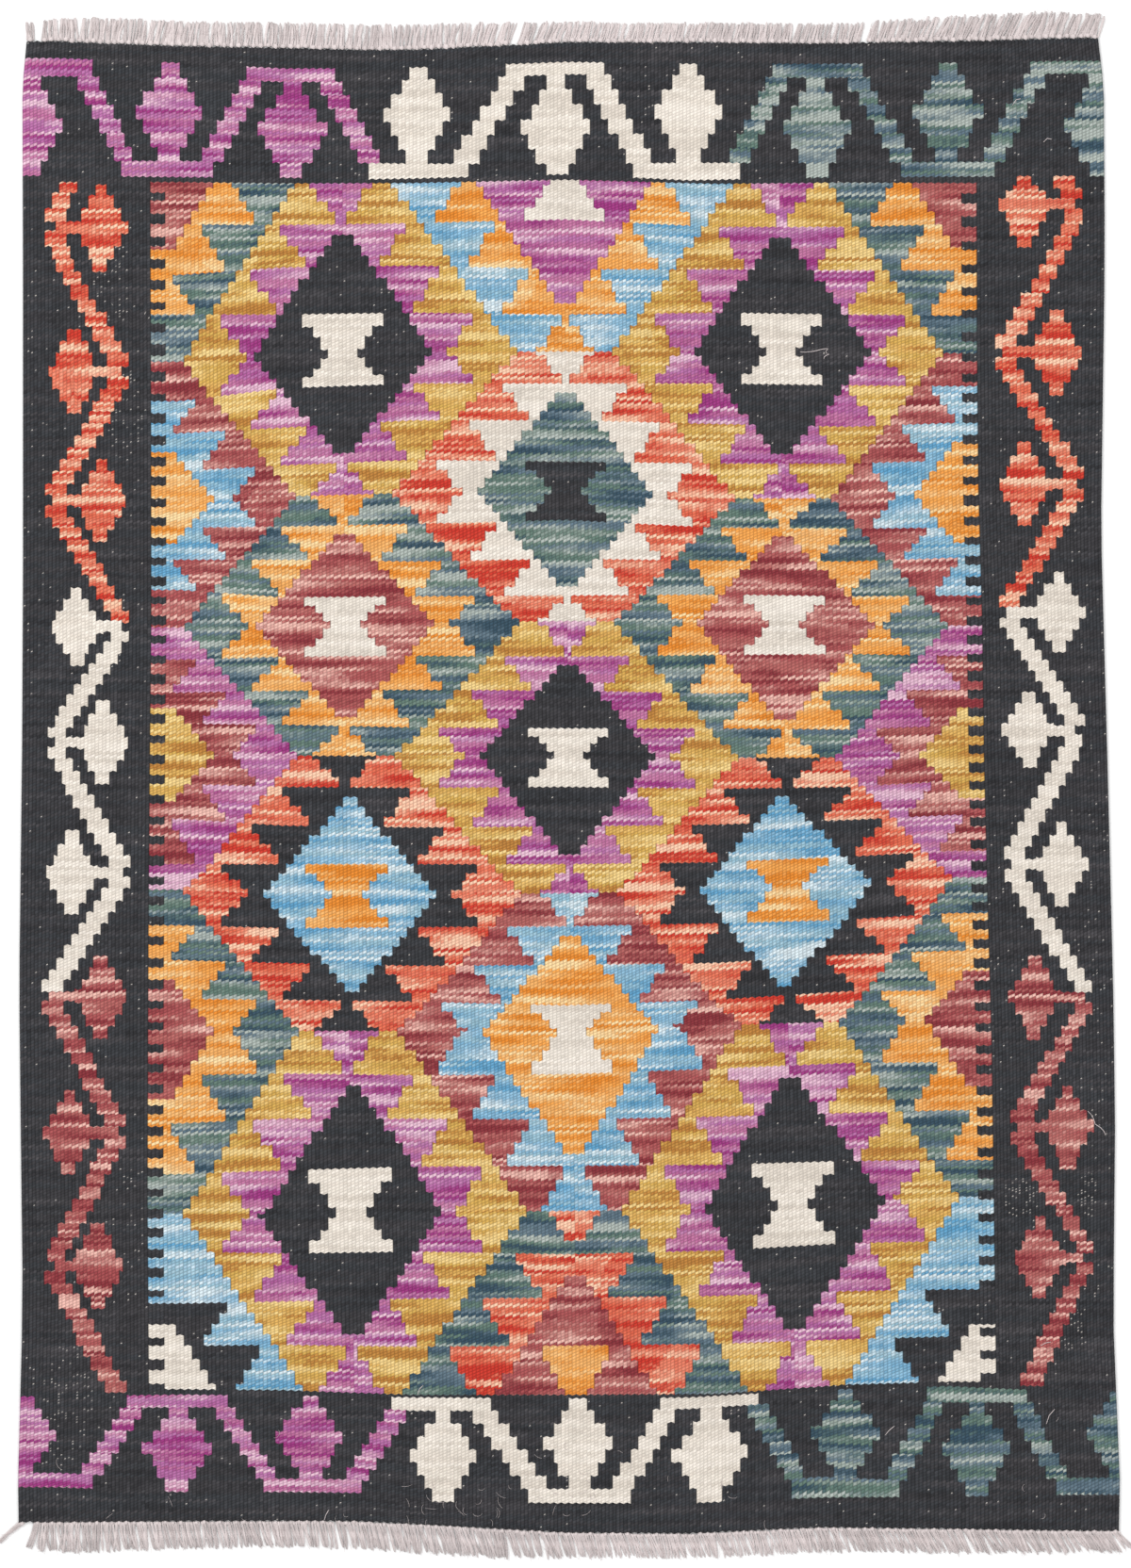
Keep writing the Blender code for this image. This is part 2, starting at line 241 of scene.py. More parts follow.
# Each fringe: piece, CAD node, shape, lost knots, pale strands, the cloth's last row there, 1 or -1 as it points up or
# down, the size of its knots, and the seed of its chance.
FRINGES = (("fringe_upper", "fringe_top", UPPER_FRINGE, UPPER_LOST, UPPER_PALE, FIRST_ROW, 1, 1.0, 11),
           ("fringe_lower", "fringe_bottom", LOWER_FRINGE, LOWER_LOST, LOWER_PALE, LAST_ROW, -1, 0.8, 23))


# ---- Reading the chart ----
def along(table, t):
    """The second column of a table at t of the first."""
    return np.interp(t, [r[0] for r in table], [r[1] for r in table])


def warp_x(y):
    """x of each of WARPS at heights y."""
    inner = [np.interp(y, WARP_LINES[:, 0], WARP_LINES[:, k]) for k in range(1, 6)]
    return np.array([along(LEFT_SELVEDGE, y)] + inner + [along(RIGHT_SELVEDGE, y)])


def row_y(x):
    """y of each of ROWS at places x across."""
    return np.array([np.interp(x, END_X, r[1:]) for r in UPPER_ROWS] +
                    [np.interp(x, FIELD_X, r[1:]) for r in FIELD_ROWS] +
                    [np.interp(x, END_X, r[1:]) for r in LOWER_ROWS])


def between(lines, marks, t):
    """Lines known at marks, read at t, for each point of its own."""
    k = np.clip(np.searchsorted(marks, t, side="right") - 1, 0, len(marks) - 2)
    marks = np.asarray(marks, float)
    f = (t - marks[k]) / (marks[k + 1] - marks[k])
    n = np.arange(len(t))
    return lines[k, n] * (1 - f) + lines[k + 1, n] * f


def place(warp, row):
    """x and y in counts of points given by warp and row."""
    x = np.interp(warp, WARPS, warp_x(SEARCH_Y))
    for _ in range(4):  # each round brings it closer, and four are enough
        y = between(row_y(x), ROWS, row)
        x = between(warp_x(y), WARPS, warp)
    return x, y


def warp_at(x, y):
    """The whole warp at a place in counts."""
    return round(float(np.interp(x, warp_x(float(y)), WARPS)))


def row_at(x, y):
    """The quarter row at a place in counts."""
    return np.round(float(np.interp(y, row_y(float(x)), ROWS)) * STEPS_A_ROW) / STEPS_A_ROW


def step_from(end):
    """The step at a distance in rows from a diamond's middle row or tip, near which steps are uneven."""
    uneven = np.where(end < TIP_ROWS, 0, 1 + np.floor((end - TIP_ROWS) / TIP_STEP))
    return np.where(end < EVEN_FROM, uneven, np.floor(end))


def diamond_step(away):
    """The step, 0 to 15, at a distance in rows from a diamond's middle row."""
    away, last = np.abs(away), HALF_ROWS - 1
    step = np.where(away < HALF_ROWS - EVEN_FROM, step_from(away), last - step_from(HALF_ROWS - away))
    return np.clip(step, 0, last).astype(int)


def field(warp, row):
    """The yarn and the number of the block for each point of the field."""
    yarn = np.full(warp.shape, CHARCOAL)
    block = np.zeros(warp.shape, int)
    for number, (middle, centre, core, hourglass, inner, outer) in enumerate(DIAMONDS):
        away = np.abs(warp - middle)
        side = np.sign(warp - middle)
        wider = np.zeros((4,) + warp.shape)
        for stray_warp, stray_row, half, stray_side, *widths in STRAYS:
            if (stray_warp, stray_row) == (middle, centre):
                here = ((half == 0) | (half * (row - centre) > 0)) & ((stray_side == 0) | (stray_side * side > 0))
                wider += here * np.reshape(widths, (4,) + (1,) * warp.ndim)
        inside = (np.abs(row - centre) < HALF_ROWS) & (away < HALF_WARPS)
        step = diamond_step(row - centre)
        at_comb = middle in (0, 240)
        if at_comb:
            shape = LOWER_RIGHT if number == len(DIAMONDS) - 1 else AT_COMB
        else:
            facing = ((middle == 60) & (side < 0)) | ((middle == 180) & (side > 0))
            shape = [np.where(facing, a, b) for a, b in zip(FACING_COMB, WHOLE)]
        ring, ring_loss, band, band_loss, heart, heart_loss = shape
        ring = ring - ring_loss * step + wider[0]
        # A half is rounded so that neighbours share the edge.
        ring = np.round(ring) if middle in (60, 180) else HALF_WARPS - np.round(HALF_WARPS - ring)
        hole = ring - np.round(band - band_loss * (step % TOOTH) + wider[0] - wider[1])
        if at_comb:
            hole = np.where(step > (LAST_HOLE_BELOW if centre == FIELD_END else LAST_HOLE), -1, hole)
        last = LAST_COMB_HEART if at_comb else LAST_HEART
        last = LAST_HEART_BELOW[middle] if centre == FIELD_END else last
        heart = np.where(step > last, -1, np.round(heart - heart_loss * step + wider[2]))
        first = number * BLOCKS
        part = first + 8 * (step // TOOTH) + (row > centre) * 4 + (side > 0) * 2
        layers = [(away < ring, outer, part), (away < hole, inner, part + 1), (away < heart, core, first + 40)]
        if hourglass is not None:
            foot = len(HOURGLASS) - 1
            at_foot = WIDE_FEET[1] * (step == foot) * (centre == WIDE_FEET[0])
            half = HOURGLASS[np.minimum(step, foot)] + at_foot + wider[3]
            layers.append(((step <= foot) & (away < half), hourglass, first + 41))
        for where, colour, count in layers:
            yarn = np.where(inside & where, colour, yarn)
            block = np.where(inside & where, count, block)
    return yarn, block


class Chart:
    """The yarn of every warp at every quarter row."""

    def __init__(self):
        self.warps = FIRST_WARP + np.arange(WARP_COUNT) + 0.5
        self.rows = np.arange(FIRST_ROW, LAST_ROW, 1 / STEPS_A_ROW) + 0.5 / STEPS_A_ROW
        self.warp, self.row = np.meshgrid(self.warps, self.rows)
        self.yarn, self.block = field(self.warp, self.row)
        border = (self.row < 0) | (self.row > FIELD_END) | (self.warp < FIELD_LEFT) | (self.warp > FIELD_RIGHT)
        self.yarn[border] = CHARCOAL
        self.block[border] = 0
        self.count = 3000  # the borders' blocks are numbered on from here; the field's numbers are all lower

    def fill(self, left, right, top, bottom, yarn, new=True):
        where = (self.warp > left) & (self.warp < right) & (self.row >= top) & (self.row < bottom)
        self.yarn[where] = yarn
        self.count += 1 if new else 0
        self.block[where] = self.count

    def box(self, left, right, top, bottom, yarn, new=True):
        """Fills a box given in counts, to whole warps and quarter rows."""
        x, y = (left + right) / 2, (top + bottom) / 2
        self.fill(warp_at(left, y), warp_at(right, y), row_at(x, top), row_at(x, bottom), yarn, new)

    def combs(self):
        """Notches down both sides of the field; x is where their rows are read."""
        for comb, left, x in ((LEFT_COMB, FIELD_LEFT, 168), (RIGHT_COMB, FIELD_RIGHT - NOTCH_WARPS, 1040)):
            for number in range(NOTCHES):
                y = along(comb, number)
                self.fill(left, left + NOTCH_WARPS, row_at(x, y - NOTCH_HALF), row_at(x, y + NOTCH_HALF), CHARCOAL)

    def end_border(self, bars, first, y, upper):
        """A meander of bars joined by stairs, with its buds, from its first row on; y is its height in counts."""
        def lay(left, right, step, yarn, new=True):
            """Fills from x left to right one of the steps, of which the high bars take the first."""
            top = first + step * STAIR_ROWS
            self.fill(warp_at(left, y), warp_at(right, y), top, top + STAIR_ROWS, yarn, new)

        bars = [((number % 2 == 0) == upper, END_YARNS[number // 3], *bar) for number, bar in enumerate(bars)]
        for high, yarn, left, right, _ in bars:
            lay(left, right, 0 if high else STAIRS + 1, yarn)
        for (falls, yarn, _, end, _), (_, next_yarn, start, _, _) in zip(bars, bars[1:]):
            stair = yarn if falls == upper else next_yarn
            wide, over = STAIR.get((stair, falls or upper), COMMON_STAIR)
            for k in range(1, STAIRS + 1):
                if falls:
                    edge = end + (start + over - end) * k / STAIRS
                    lay(edge - wide, edge, k, stair)
                else:
                    edge = start + (end - over - start) * k / STAIRS
                    lay(edge, edge + wide, k, stair)
        for high, yarn, _, _, x in bars:
            self.count += 1
            for k, half in enumerate(END_BUD):
                half *= WIDE_BUDS.get(x, 1)
                lay(x - half, x + half, k + high, yarn, new=False)

    def side_border(self, bends, start, first, last):
        """A zigzag band in steps, with a bud on a stalk at each bend, between the heights first and last."""
        for left, right, top, bottom in start:
            self.box(left, right, top, bottom, SIDE_YARNS[0])
        for number, (bend, left, right, bud_x, bud_half) in enumerate(bends[:-1]):
            yarn = SIDE_YARNS[number // 3]
            to_y, to_left, to_right = bends[number + 1][:3]
            run = to_y - bend - 2 * BEND_HALF
            ease = FIRST_EASE if number == 0 else 1.0
            for k in range(BAND_STEPS):
                top = bend + BEND_HALF + run * k / BAND_STEPS
                bottom = bend + BEND_HALF + run * (k + 1) / BAND_STEPS
                share = (k / (BAND_STEPS - 1)) ** ease
                if top < last:
                    self.box(left + (to_left - left) * share, right + (to_right - right) * share,
                             top, min(bottom, last), yarn)
            stalk = (left + STALK_IN, bud_x) if left < bud_x else (bud_x, right - STALK_IN)
            self.box(*stalk, bend - STALK_HALF, bend + STALK_HALF, yarn)
            height = (bud_half - STALK_HALF) / 3
            above = min(height, (bend - STALK_HALF - first) / 3)
            edges = [bend - STALK_HALF - above * k for k in (3, 2, 1)] + [bend - BUD_MIDDLE, bend + BUD_MIDDLE] + \
                    [bend + STALK_HALF + height * k for k in (1, 2, 3)]
            for k, half in enumerate(SIDE_BUD):
                self.box(bud_x - half, bud_x + half, edges[k], edges[k + 1], yarn, new=False)

    def weave(self):
        self.combs()
        self.end_border(UPPER_BARS, -12.5, 125, True)
        self.end_border(LOWER_BARS, 128.5, 1530, False)
        self.side_border(LEFT_BENDS, LEFT_START, 192, 1479)
        self.side_border(RIGHT_BENDS, RIGHT_START, 189, 1469)


# ---- Materials ----
def linear(colour):
    """An sRGB hex colour as linear RGBA."""
    parts = [int(colour[k:k + 2], 16) / 255 for k in (1, 3, 5)]
    return [c / 12.92 if c <= 0.04045 else ((c + 0.055) / 1.055) ** 2.4 for c in parts] + [1.0]


SMOOTH = {"interpolation_type": "SMOOTHSTEP"}


def add(tree, kind, *feeds, out=0, **settings):
    """
    Adds a node; kind is its type, or in capitals the operation of a Math node. Each feed goes to the next input: an
    output is linked, None leaves it, else it is the value.
    """
    if kind.isupper():
        kind, settings = "Math", {"operation": kind, **settings}
    made = tree.nodes.new("ShaderNode" + kind)
    for name, value in settings.items():
        setattr(made, name, value)
    for socket, feed in zip(made.inputs, feeds):
        if isinstance(feed, bpy.types.NodeSocket):
            tree.links.new(feed, socket)
        elif feed is not None:
            socket.default_value = feed
    return made.outputs[out]


def new_material(name, roughness=0.95, sheen=0.05):
    """A matt material with its node tree and shader. Sheen gives the soft bright rim of loose fibres."""
    material = bpy.data.materials.new(name)
    material.use_nodes = True
    shader = material.node_tree.nodes["Principled BSDF"]
    shader.inputs["Roughness"].default_value = roughness
    shader.inputs["Specular IOR Level"].default_value = 0.15
    shader.inputs["Sheen Weight"].default_value = sheen
    shader.inputs["Sheen Roughness"].default_value = 0.5
    return material, material.node_tree, shader


def add_bump(tree, shader, height, strength, distance):
    """Raises the surface by a height; the distance is in metres."""
    bump = tree.nodes.new("ShaderNodeBump")
    bump.inputs["Strength"].default_value = strength
    bump.inputs["Distance"].default_value = distance
    tree.links.new(height, bump.inputs["Height"])
    tree.links.new(bump.outputs[0], shader.inputs["Normal"])


# The dyed weft yarns: the colour of the darkest, the usual, the next usual and the lightest picks; the share of full
# shade that is left between two beads; how sharply one bead is set off from the next along its warp; how far beads
# differ by chance and how much painted shade and light whole ribs get; how far the streaks differ; and the chance of a
# pale warp showing between two beads.
Yarn = collections.namedtuple("Yarn", "key name dark plain other light bead_shade bead_edge speckle contrast bare")
YARNS = (
    # Nearly black and flat, with the ribs just showing and pale specks of bare warp.
    Yarn("charcoal", "charcoal_wool_weft", "#303033", "#3B3A3D", "#383A3E", "#484649", 0.46, 0.30, 0.34, 0.7, 0.014),
    # Undyed cream wool, clean and even, its beads hardly shaded.
    Yarn("ivory", "ivory_wool_weft", "#D6CCC0", "#DFD5C9", "#E3DACE", "#EAE1D6", 0.76, 0.8, 0.14, 1.3, 0),
    # Purple pink with cool pale streaks, as where the dye bath ran weak.
    Yarn("magenta", "magenta_dyed_wool_weft", "#9A387C", "#BC729B", "#B26CA1", "#E2BACD", 0.62, 0.8, 0.12, 1.0, 0),
    # Warm ochre gold, browner and paler by turns.
    Yarn("mustard", "mustard_dyed_wool_weft", "#B87E3C", "#D8AA5C", "#D0A654", "#ECCC88", 0.60, 0.8, 0.14, 1.3, 0),
    # Clear orange with cream yellow streaks.
    Yarn("orange", "orange_dyed_wool_weft", "#E0862F", "#EBAB64", "#EEA251", "#F6D49E", 0.62, 0.8, 0.12, 1.0, 0),
    # Bright pale blue, streaked nearly white.
    Yarn("sky", "sky_blue_dyed_wool_weft", "#5F9CC2", "#94B9CA", "#88B4CF", "#D2E0E6", 0.60, 0.8, 0.20, 1.0, 0),
    # Dull blue that turns green grey from yarn to yarn.
    Yarn("slate", "slate_blue_dyed_wool_weft", "#384F5E", "#617582", "#627A70", "#ACB5AF", 0.60, 0.8, 0.12, 1.0, 0),
    # Dark brick red, dusty pink where it is pale.
    Yarn("maroon", "maroon_dyed_wool_weft", "#86333A", "#B06360", "#A85455", "#E8B6AA", 0.62, 0.8, 0.12, 1.0, 0),
    # Strong scarlet next to peach, the widest streaks of all.
    Yarn("coral", "coral_red_dyed_wool_weft", "#C93A2D", "#E27D63", "#DE6C51", "#F8C8AA", 0.60, 0.8, 0.12, 1.22, 0),
)
BARE_WARP = "#CFC8C0"

BEAD_ROUND, BEAD_TOP = 0.7, 0.9  # how round beads are across, and how high up they are fully lit
BUMP, BEAD_HIGH = 0.7, 0.0006  # strength of the beads' relief, and their height in metres
TOP_SHADE = 1.04  # shade on top of a bead
# The streaks add up two layers of noise: how fast each changes from warp to warp and from pair to pair of picks, how
# far it shifts from block to block, and its weight. Then each bead differs by chance, and the sum is brought to USUAL.
STREAKS = ((0.036, 0.34, 3.71, 1.45), (0.026, 1.20, 5.13, 1.33))
STREAK_CHANCE, STREAK_SHIFT = 0.12, -0.955
USUAL, NOT_DARK = 0.5, 0.48  # where the usual shade starts to turn lighter, and darker
TO_LIGHT, TO_DARK = 0.36, 0.34  # how far from USUAL the lightest and the darkest shade are
BATCH, BATCH_FROM, BATCH_TO = 0.45, 0.44, 0.56  # scale and edges of the stretches in the next usual shade
SLIT_FULL, SLIT_OUT, SLIT_SHADE = 0.02, 0.30, -0.38  # where a slit's shade starts and ends, in warps, and how deep
RIB_DRIFT, RIB_NOISE = 0.03, 0.93  # how fast ribs change along themselves, and from one to the next
SPECK_FROM, SPECK_HALF = 0.68, 0.20  # the part of a bead that a speck takes, upwards and across
SPECK_MIX, SPECK_RANGE, SPECK_LEAST = 37.0, 0.55, 0.25  # how bare the warp is: a mixing factor, range and least


def woven(yarn, dye):
    """Hand-spun wool, unevenly dyed: matt, with streaks that follow the picks and slanted beads over each warp."""
    material, tree, shader = new_material(yarn.name)
    node = functools.partial(add, tree)
    # The other shades of the yarn keep their ratio to the dye.
    dark, plain, other, light = ([min(c * d / p, 1.0) for c, d, p in zip(linear(colour), dye, linear(yarn.plain))]
                                 for colour in (yarn.dark, yarn.plain, yarn.other, yarn.light))
    warp = node("SeparateXYZ", node("UVMap", uv_map="weave"))
    pick = warp.node.outputs[1]
    # Which sides of a face hold a slit, to be painted with shade, and how worn or faded it is.
    slit_left = node("SeparateXYZ", node("Attribute", attribute_name="marks", out=1))
    slit_right, worn = slit_left.node.outputs[1:]
    block = node("Attribute", attribute_name="block", out=2)
    rib = node("FLOOR", warp)
    across = node("FRACT", warp)

    # A bead is two picks high, and those of the next warp lie half a bead further on. Each slants up to the right.
    slanted = node("SUBTRACT", pick, across)
    phase = node("MULTIPLY_ADD", slanted, 0.5, node("MULTIPLY", rib, 0.5))
    bead = node("FLOOR", phase)
    up = node("FRACT", phase)
    round_across = node("SINE", node("MULTIPLY", across, math.pi))
    round_up = node("SINE", node("MULTIPLY", up, math.pi))
    height = node("MULTIPLY", node("POWER", round_across, BEAD_ROUND), node("POWER", round_up, yarn.bead_edge))

    # The yarn was dyed unevenly, so its shade drifts along it. A bead shows one pick, and the next warp's bead the
    # pick that comes back beside it, so that a light pair of picks shows as a wavy line.
    number = node("SUBTRACT", node("MULTIPLY", bead, 2.0), rib)
    chance = node("TexWhiteNoise", node("CombineXYZ", rib, number, block), noise_dimensions="3D")
    pair = node("FLOOR", node("MULTIPLY", number, 0.5))
    shades = []
    for to_warp, to_pair, to_block, _ in STREAKS:
        spun = node("CombineXYZ", node("MULTIPLY", warp, to_warp), node("MULTIPLY", pair, to_pair),
                    node("MULTIPLY", block, to_block))
        shades.append(node("TexNoise", spun, None, 1.0, 1.0, 0.5, noise_dimensions="3D"))
    streak = node("MULTIPLY_ADD", shades[0], STREAKS[0][-1], node("MULTIPLY", shades[1], STREAKS[1][-1]))
    streak = node("ADD", streak, node("MULTIPLY_ADD", chance, STREAK_CHANCE, STREAK_SHIFT))
    if not yarn.bare:
        streak = node("ADD", streak, worn)
    lighter = node("MapRange", streak, USUAL, USUAL + TO_LIGHT / yarn.contrast, 0.0, 1.0, **SMOOTH)
    darker = node("MapRange", streak, USUAL - TO_DARK / yarn.contrast, NOT_DARK, 1.0, 0.0, **SMOOTH)
    batch = node("TexNoise", spun, None, BATCH, 0.0, 0.5, noise_dimensions="3D")
    batch = node("MapRange", batch, BATCH_FROM, BATCH_TO, 0.0, 1.0, **SMOOTH)
    colour = node("MixRGB", batch, plain, other)
    colour = node("MixRGB", lighter, colour, light)
    colour = node("MixRGB", darker, colour, dark)

    # The shade falls off between the beads and between the ribs, and most of all in a slit between two yarns.
    shade = node("MapRange", height, 0.0, BEAD_TOP, yarn.bead_shade, TOP_SHADE, **SMOOTH)
    near_left = node("MapRange", across, SLIT_FULL, SLIT_OUT, 1.0, 0.0, **SMOOTH)
    near_right = node("MapRange", across, 1.0 - SLIT_OUT, 1.0 - SLIT_FULL, 0.0, 1.0, **SMOOTH)
    slit = node("MULTIPLY_ADD", slit_left, near_left, node("MULTIPLY", slit_right, near_right))
    shade = node("MULTIPLY", shade, node("MULTIPLY_ADD", slit, SLIT_SHADE, 1.0))
    # Beads differ in tone by chance, and whole ribs get painted shade and light, as though some warps lay higher than
    # others.
    long_rib = node("CombineXYZ", rib, node("MULTIPLY", number, RIB_DRIFT), 0.5)
    long_rib = node("TexNoise", long_rib, None, RIB_NOISE, 0.0, 0.5, noise_dimensions="3D")
    differ = node("MULTIPLY_ADD", node("ADD", chance, long_rib), yarn.speckle, 1.0 - yarn.speckle)
    shade = node("MULTIPLY", shade, differ)
    colour = node("MixRGB", 1.0, colour, node("CombineXYZ", shade, shade, shade), blend_type="MULTIPLY")

    if yarn.bare:
        # A pale warp shows as a dot between two beads, rarely in sound cloth and often where the weft has worn.
        between_beads = node("GREATER_THAN", up, SPECK_FROM)
        off_rib = node("ABSOLUTE", node("SUBTRACT", across, 0.5))
        on_rib = node("LESS_THAN", off_rib, SPECK_HALF)
        shows = node("GREATER_THAN", node("ADD", chance, worn), 1.0 - yarn.bare)
        speck = node("MULTIPLY", node("MULTIPLY", between_beads, on_rib), shows)
        # Specks differ in how far the warp is bare.
        bare = node("FRACT", node("MULTIPLY", chance, SPECK_MIX))
        bare = node("MULTIPLY_ADD", bare, SPECK_RANGE, SPECK_LEAST)
        colour = node("MixRGB", node("MULTIPLY", speck, bare), colour, linear(BARE_WARP))
    tree.links.new(colour, shader.inputs["Base Color"])
    add_bump(tree, shader, height, BUMP, BEAD_HIGH)
    return material


WARP_YARN = "undyed_warp_yarn"
PLIES, PLY_TWIST = 2.0, 0.22  # plies of the warp yarn, and how steeply they turn
PLY_SHADE, PLY_BUMP, PLY_HIGH = 0.03, 0.3, 0.0002  # how much light and shade of the plies' relief is painted, their relief's strength and metres
DARKEST_END, LIGHTEST_END = 0.68, 1.12  # shares of the yarn's colour


def warp_yarn(dye):
    """Undyed grey-lilac warp yarn: pale and matt, with faint slanted plies in relief and painted shade, each end a
    little lighter or darker.
    """
    material, tree, shader = new_material(WARP_YARN, sheen=0.25)
    node = functools.partial(add, tree)
    around = node("SeparateXYZ", node("UVMap", uv_map="weave"))
    length = around.node.outputs[1]
    shade = node("Attribute", attribute_name="shade", out=2)
    # The plies' relief is also painted into the colour: lighter along each ply, painted shade in the grooves between.
    turn = node("MULTIPLY_ADD", around, PLIES, node("MULTIPLY", length, PLIES * PLY_TWIST))
    ply = node("SINE", node("MULTIPLY", turn, 2 * math.pi))
    tone = node("MULTIPLY_ADD", ply, PLY_SHADE, shade)
    darkest, lightest = ([min(c * share, 1.0) for c in dye[:3]] + [1.0] for share in (DARKEST_END, LIGHTEST_END))
    colour = node("MixRGB", tone, darkest, lightest)
    tree.links.new(colour, shader.inputs["Base Color"])
    add_bump(tree, shader, ply, PLY_BUMP, PLY_HIGH)
    return material


# ---- Pieces ----
def to_metres(x, y):
    """Counts to metres in the row frame, with the cloth's middle where the CAD cloth has it."""
    return (np.asarray(x, float) - MIDDLE[0]) * COUNT + SHIFT[0], (MIDDLE[1] - np.asarray(y, float)) * COUNT + SHIFT[1]


def cloth_shift():
    """How far the chart's outline is from the CAD cloth's."""
    low, high = CLOTH_BOX
    warps, rows = np.meshgrid((FIRST_WARP, FIRST_WARP + WARP_COUNT), np.linspace(FIRST_ROW, LAST_ROW, 200))
    x, _ = place(warps.ravel(), rows.ravel())
    warps, rows = np.meshgrid(np.linspace(FIRST_WARP, FIRST_WARP + WARP_COUNT, 200), (FIRST_ROW, LAST_ROW))
    _, y = place(warps.ravel(), rows.ravel())
    x, y = (x - MIDDLE[0]) * COUNT, (MIDDLE[1] - y) * COUNT
    return ((low.x + high.x - x.min() - x.max()) / 2, (low.y + high.y - y.min() - y.max()) / 2)


CLOTH_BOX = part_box("cloth")
SHIFT = cloth_shift()


def new_piece(name, bm, materials):
    mesh = bpy.data.meshes.new(name)
    bm.to_mesh(mesh)
    bm.free()
    for material in materials:
        mesh.materials.append(material)
    piece = bpy.data.objects.new(name, mesh)
    bpy.context.scene.collection.objects.link(piece)
    return piece


def get(data, what, size=1, kind=np.float32):
    """One property of all items of a mesh."""
    values = np.empty(len(data) * size, kind)
    data.foreach_get(what, values)
    return values


def put(data, what, values):
    """Sets one property of all items of a mesh."""
    data.foreach_set(what, np.asarray(values, np.float32).ravel())


def patches(table, x, y):
    """The shares of a table of oval patches, added up at places in counts."""
    total = np.zeros(x.shape)
    for middle_x, middle_y, half_wide, half_high, share in table:
        total += share * (((x - middle_x) / half_wide) ** 2 + ((y - middle_y) / half_high) ** 2 < 1)
    return total


EDGE_THICK = 0.24  # half the thickness of the cloth's rim, as a share of the whole
BLOCK_SPREAD, BLOCK_WRAP = 0.618, 97  # keep the noise of blocks with close numbers apart, and numbers small


